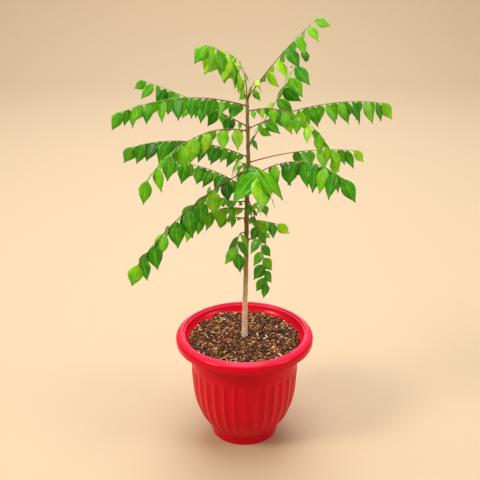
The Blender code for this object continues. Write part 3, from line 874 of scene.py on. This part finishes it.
def add_blade(shape, tone_layer, leaflet, width_share, tone, rng):
    """One leaflet's upper skin: a grid bent to the blade's outline, folded, drooping and waved."""
    root, direction, across, length = leaflet
    direction = (direction + across * rng.uniform(-BLADE_SWAY, BLADE_SWAY)).normalized()
    roll = rng.gauss(0.0, BLADE_ROLL)
    across = (across - direction * direction.dot(across)).normalized()
    across = across * math.cos(roll) + direction.cross(across) * math.sin(roll)
    normal = direction.cross(across)
    if normal.z < 0:
        across, normal = -across, -normal
    half = 0.5 * length * width_share
    droop = BLADE_DROOP * rng.uniform(*BLADE_DROOP_RANGE)
    fold = BLADE_FOLD * rng.uniform(*BLADE_FOLD_RANGE)
    sickle = rng.uniform(-BLADE_SICKLE, BLADE_SICKLE)
    phase = rng.uniform(0.0, 6.0)
    made = bmesh.ops.create_grid(
        shape, x_segments=BLADE_ACROSS, y_segments=BLADE_ALONG, size=0.5, calc_uvs=True
    )["verts"]
    for vertex in made:
        share = vertex.co.y + 0.5
        out = 2.0 * vertex.co.x
        sideways = out * half * blade_half_width(share)
        wave = BLADE_WAVE * out * out * math.sin(BLADE_WAVES * share + phase)
        cup = BLADE_CUP * sideways * sideways
        sag = droop * length * share**BLADE_DROOP_CURVE
        lift = fold * abs(sideways) - cup - sag + wave
        bend = sickle * length * share * share
        place = root + direction * (share * length) + across * (sideways + bend) + normal * lift
        vertex.co = place * MM
        vertex[tone_layer] = tone
    face = made[0].link_faces[0]
    face.normal_update()
    if face.normal.dot(normal) < 0:
        faces = {face for vertex in made for face in vertex.link_faces}
        bmesh.ops.reverse_faces(shape, faces=list(faces))


def add_stalk(shape, tone_layer, frond):
    """The rachis, swollen where it meets the stem and rooted a little inside it."""
    blades = set(shape.faces)
    points, directions = frond_path(frond)
    route = [points[0] - directions[0] * STALK_SUNK]
    route += [point_on(points, directions, i / STALK_STEPS)[0] for i in range(STALK_STEPS + 1)]
    for _ in range(STALK_SMOOTHINGS):
        inner = [(a + b * 2.0 + c) * 0.25 for a, b, c in zip(route, route[1:], route[2:])]
        route = [route[0]] + inner + [route[-1]]
    radii, tones = [], []
    for i in range(len(route)):
        share = i / (len(route) - 1)
        radius = RACHIS_BASE_RADIUS + (RACHIS_TIP_RADIUS - RACHIS_BASE_RADIUS) * share
        radius += STALK_SWELL * math.exp(-((share * frond["length"] / STALK_SWELL_LENGTH) ** 2))
        radii.append(radius * STALK_SHARE * MM)
        tones.append(smooth_step(share * 1.3) * (0.6 + 0.4 * frond["youth"]))
    loft_along(shape, [point * MM for point in route], radii, STALK_SIDES, tones, tone_layer)
    stalk = [face for face in shape.faces if face not in blades]
    for face in stalk:
        face.material_index = STALK
    bmesh.ops.recalc_face_normals(shape, faces=stalk)


def make_frond(frond, materials):
    """One frond: a finely cut leaflet at each place, and the rachis."""
    rng = random.Random(f"{SEED} {frond['name']}")
    looks = random.Random(f"{SEED} looks {frond['name']}")
    leaflets = leaflets_of(frond, rng)
    leaflets[-1] = turned_to_front(leaflets[-1])
    leaflets += basal_leaflets_of(frond, looks)
    shape = bmesh.new()
    tone_layer = shape.verts.layers.float.new("tone")
    shape.loops.layers.uv.new("blade")
    for leaflet in leaflets:
        tone = min(1.0, max(0.0, frond["youth"] + looks.gauss(0.0, BLADE_TONE_SPREAD)))
        add_blade(shape, tone_layer, leaflet, frond["width"] * looks.uniform(*BLADE_WIDTH_RANGE), tone, looks)
    # What solidify gives back is each blade's lower skin and its rim.
    lower = bmesh.ops.solidify(shape, geom=list(shape.faces), thickness=BLADE_THICKNESS * MM)["geom"]
    for item in lower:
        if isinstance(item, bmesh.types.BMFace):
            item.material_index = UNDERSIDE
    add_stalk(shape, tone_layer, frond)
    finished_piece("leafy_" + frond["name"], shape, materials, "leaf", "frond_" + frond["name"])


def make_floor(material):
    """A plain pale floor that curves up into a plain wall behind."""
    shape = bmesh.new()
    ends = [(-FLOOR_HALF_WIDTH, -FLOOR_HALF_WIDTH, 0.0), (FLOOR_HALF_WIDTH, -FLOOR_HALF_WIDTH, 0.0)]
    edge = shape.edges.new([shape.verts.new(end) for end in ends])
    center = (WALL_DEPTH - WALL_BEND_RADIUS, WALL_BEND_RADIUS)
    bend = arc(center, (WALL_BEND_RADIUS, WALL_BEND_RADIUS), -90.0, 0.0, WALL_BEND_STEPS)
    for y, z in bend + [(WALL_DEPTH, WALL_HEIGHT)]:
        pushed = bmesh.ops.extrude_edge_only(shape, edges=[edge])["geom"]
        edge = next(item for item in pushed if isinstance(item, bmesh.types.BMEdge))
        for vertex in edge.verts:
            vertex.co.y, vertex.co.z = y, z
    bmesh.ops.recalc_face_normals(shape, faces=shape.faces)
    floor = finished_mesh("studio_floor", shape, [material])


def make_studio():
    """Soft light from the upper left, above and behind, a weaker one from the right, and a pale world."""
    world = bpy.data.worlds.new("studio")
    world.use_nodes = True
    backdrop = {"Color": linear("#fff4e6"), "Strength": WORLD_STRENGTH}
    fill(world.node_tree, world.node_tree.nodes["Background"], backdrop)
    bpy.context.scene.world = world
    for name, place, aim, width, watts, colour in LAMPS:
        data = bpy.data.lights.new(name, "AREA")
        data.shape = "DISK"
        data.size = width
        data.energy = watts
        data.color = linear(colour)[:3]
        lamp = bpy.data.objects.new(name, data)
        lamp.location = place
        lamp.rotation_euler = (Vector((0.0, 0.0, aim)) - Vector(place)).to_track_quat("-Z", "Y").to_euler()
        lamp.visible_camera = False
        bpy.context.scene.collection.objects.link(lamp)
    bpy.context.scene.view_settings.view_transform = "Standard"


def make_camera():
    data = bpy.data.cameras.new("camera")
    data.lens = CAMERA_LENS
    data.sensor_width = SENSOR_WIDTH
    data.clip_end = CLIP_END
    camera = bpy.data.objects.new("camera", data)
    camera.location = CAMERA_PLACE
    camera.rotation_euler = (math.radians(CAMERA_PITCH), 0.0, 0.0)
    bpy.context.scene.collection.objects.link(camera)
    bpy.context.scene.camera = camera


def main():
    make_camera()
    make_studio()
    make_floor(finished_material("pale_paper", pale_paper))
    make_pot(finished_material("red_polypropylene", red_polypropylene))
    make_soil(finished_material("damp_soil", damp_soil))
    make_chips(finished_material("bark_chips", bark_chips))
    make_trunk(finished_material("young_bark", young_bark))
    skins = [
        finished_material("leaf_upper", glossy_leaf),
        finished_material("leaf_lower", matt_leaf),
        finished_material("leaf_stalk", leaf_stalk),
    ]
    for frond in FRONDS:
        make_frond(frond, skins)


main()
